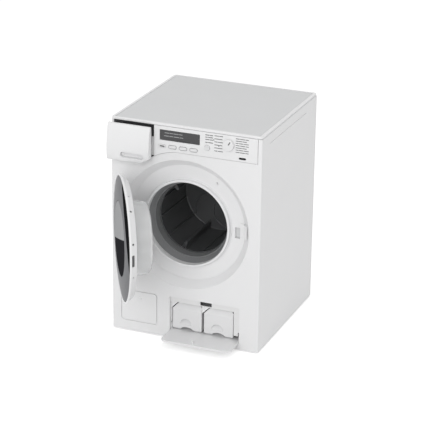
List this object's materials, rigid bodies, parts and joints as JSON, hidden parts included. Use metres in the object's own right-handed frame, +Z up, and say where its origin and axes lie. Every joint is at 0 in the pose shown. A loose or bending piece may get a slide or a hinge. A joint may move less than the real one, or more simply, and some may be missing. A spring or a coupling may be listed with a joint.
{
  "type": "toy washing machine",
  "caption": "Front-loading toy washing machine with a hinged round door, turning ribbed drum, detergent drawer, programme dial, keys, and a fold-down flap over pull-out canisters",
  "frame": {"origin": "on the ground, half way between the ajar door's foremost point and the back, in the middle of the width", "axes": "+Z up, the front with the door faces -Y, +X to the right seen from the front"},
  "size_m": [0.182, 0.3056, 0.26],
  "materials": {
    "white_plastic": "satin white moulding",
    "off_white_plastic": "matt off-white moulding",
    "pale_grey_plastic": "matt pale grey",
    "collar_grey_plastic": "matt mid grey",
    "drum_grey_plastic": "satin dark grey",
    "dark_grey_plastic": "matt dark grey",
    "black_plastic": "matt black",
    "silver_plastic": "silver lacquer on plastic",
    "smoked_plastic": "glossy smoked plastic",
    "clear_plastic": "clear plastic",
    "steel": "zinc-plated",
    "bronze": "sintered bronze",
    "board_laminate": "green laminate",
    "foot_rubber": "matt rubber",
    "gear_plastic": "natural moulded gear plastic",
    "cell_sleeve": "plain printed sleeve"
  },
  "bodies": {
    "cabinet": {"left_side_panel": "white_plastic", "right_side_panel": "white_plastic", "base_plate": "white_plastic", "foot_1": "foot_rubber", "foot_2": "foot_rubber", "foot_3": "foot_rubber", "foot_4": "foot_rubber", "top_cover": "white_plastic", "top_inlay": "pale_grey_plastic", "back_panel": "white_plastic", "back_screw_left": "steel", "back_screw_right": "steel", "front_panel": "white_plastic", "seal_collar": "collar_grey_plastic", "bearing_bush": "bronze", "bulkhead": "off_white_plastic", "motor": "steel", "motor_bracket": "dark_grey_plastic", "door_hinge_pin": "steel", "door_hinge_bracket": "steel", "door_catch": "white_plastic", "door_switch": "black_plastic", "control_fascia": "white_plastic", "display_window": "dark_grey_plastic", "indicator_lens": "black_plastic", "circuit_board": "board_laminate", "button_membrane": "foot_rubber", "dial_selector": "dark_grey_plastic", "drawer_housing": "black_plastic", "flap_latch": "black_plastic", "canister_bay": "off_white_plastic", "battery_box": "black_plastic", "battery_cover": "off_white_plastic", "battery_cover_screw": "steel", "battery_1": "cell_sleeve", "battery_2": "cell_sleeve", "battery_3": "cell_sleeve", "contact_left": "steel", "contact_right": "steel", "speaker": "dark_grey_plastic"},
    "door": {"door_ring": "white_plastic", "door_face": "silver_plastic", "door_window": "smoked_plastic", "door_bowl": "clear_plastic"},
    "drawer": {"drawer_front": "white_plastic", "drawer_tray": "dark_grey_plastic"},
    "lower_flap": {"flap": "white_plastic"},
    "left_canister": {"canister_left": "white_plastic"},
    "right_canister": {"canister_right": "white_plastic"},
    "drum_assembly": {"drum": "drum_grey_plastic", "drum_shaft": "steel", "drum_gear": "gear_plastic"},
    "motor_pinion": {"pinion": "gear_plastic"},
    "dial": {"programme_dial": "white_plastic"},
    "key_1": {"option_button_1": "white_plastic"},
    "key_2": {"option_button_2": "white_plastic"},
    "key_3": {"option_button_3": "white_plastic"},
    "key_4": {"option_button_4": "white_plastic"},
    "start_key": {"start_button": "white_plastic"},
    "switch_plunger": {"door_switch_pin": "white_plastic"}
  },
  "joints": [
    {"name": "door_hinge", "type": "hinge", "parent": "cabinet", "child": "door", "pos_m": [-0.083, -0.01574, 0.143], "axis": [0, 0, 1], "range_deg": [-42.5, 57.5]},
    {"name": "drawer_slide", "type": "slide", "parent": "cabinet", "child": "drawer", "axis": [0, -1, 0], "range_m": [-0.009, 0.04]},
    {"name": "flap_hinge", "type": "hinge", "parent": "cabinet", "child": "lower_flap", "pos_m": [0.0244, -0.01974, 0.0155], "axis": [1, 0, 0], "range_deg": [-90, 0]},
    {"name": "left_canister_slide", "type": "slide", "parent": "cabinet", "child": "left_canister", "axis": [0, -1, 0], "range_m": [0, 0.035]},
    {"name": "right_canister_slide", "type": "slide", "parent": "cabinet", "child": "right_canister", "axis": [0, -1, 0], "range_m": [0, 0.035]},
    {"name": "drum_spin", "type": "hinge", "parent": "cabinet", "child": "drum_assembly", "pos_m": [0, 0.06276, 0.143], "axis": [0, 1, 0], "continuous": true},
    {"name": "motor_spin", "type": "hinge", "parent": "cabinet", "child": "motor_pinion", "pos_m": [0, 0.06276, 0.1055], "axis": [0, 1, 0], "continuous": true},
    {"name": "dial_turn", "type": "hinge", "parent": "cabinet", "child": "dial", "pos_m": [0.0519, -0.02784, 0.2461], "axis": [0, -1, 0], "continuous": true},
    {"name": "key_1_press", "type": "slide", "parent": "cabinet", "child": "key_1", "axis": [0, 1, 0], "range_m": [0, 0.001], "stiffness_N_per_m": 200},
    {"name": "key_2_press", "type": "slide", "parent": "cabinet", "child": "key_2", "axis": [0, 1, 0], "range_m": [0, 0.001], "stiffness_N_per_m": 200},
    {"name": "key_3_press", "type": "slide", "parent": "cabinet", "child": "key_3", "axis": [0, 1, 0], "range_m": [0, 0.001], "stiffness_N_per_m": 200},
    {"name": "key_4_press", "type": "slide", "parent": "cabinet", "child": "key_4", "axis": [0, 1, 0], "range_m": [0, 0.001], "stiffness_N_per_m": 200},
    {"name": "start_press", "type": "slide", "parent": "cabinet", "child": "start_key", "axis": [0, 1, 0], "range_m": [0, 0.001], "stiffness_N_per_m": 200},
    {"name": "switch_press", "type": "slide", "parent": "cabinet", "child": "switch_plunger", "axis": [0, 1, 0], "range_m": [0, 0.0008], "stiffness_N_per_m": 100}
  ],
  "couplings": [
    {"joint": "motor_spin", "follows": "drum_spin", "ratio": -4}
  ]
}
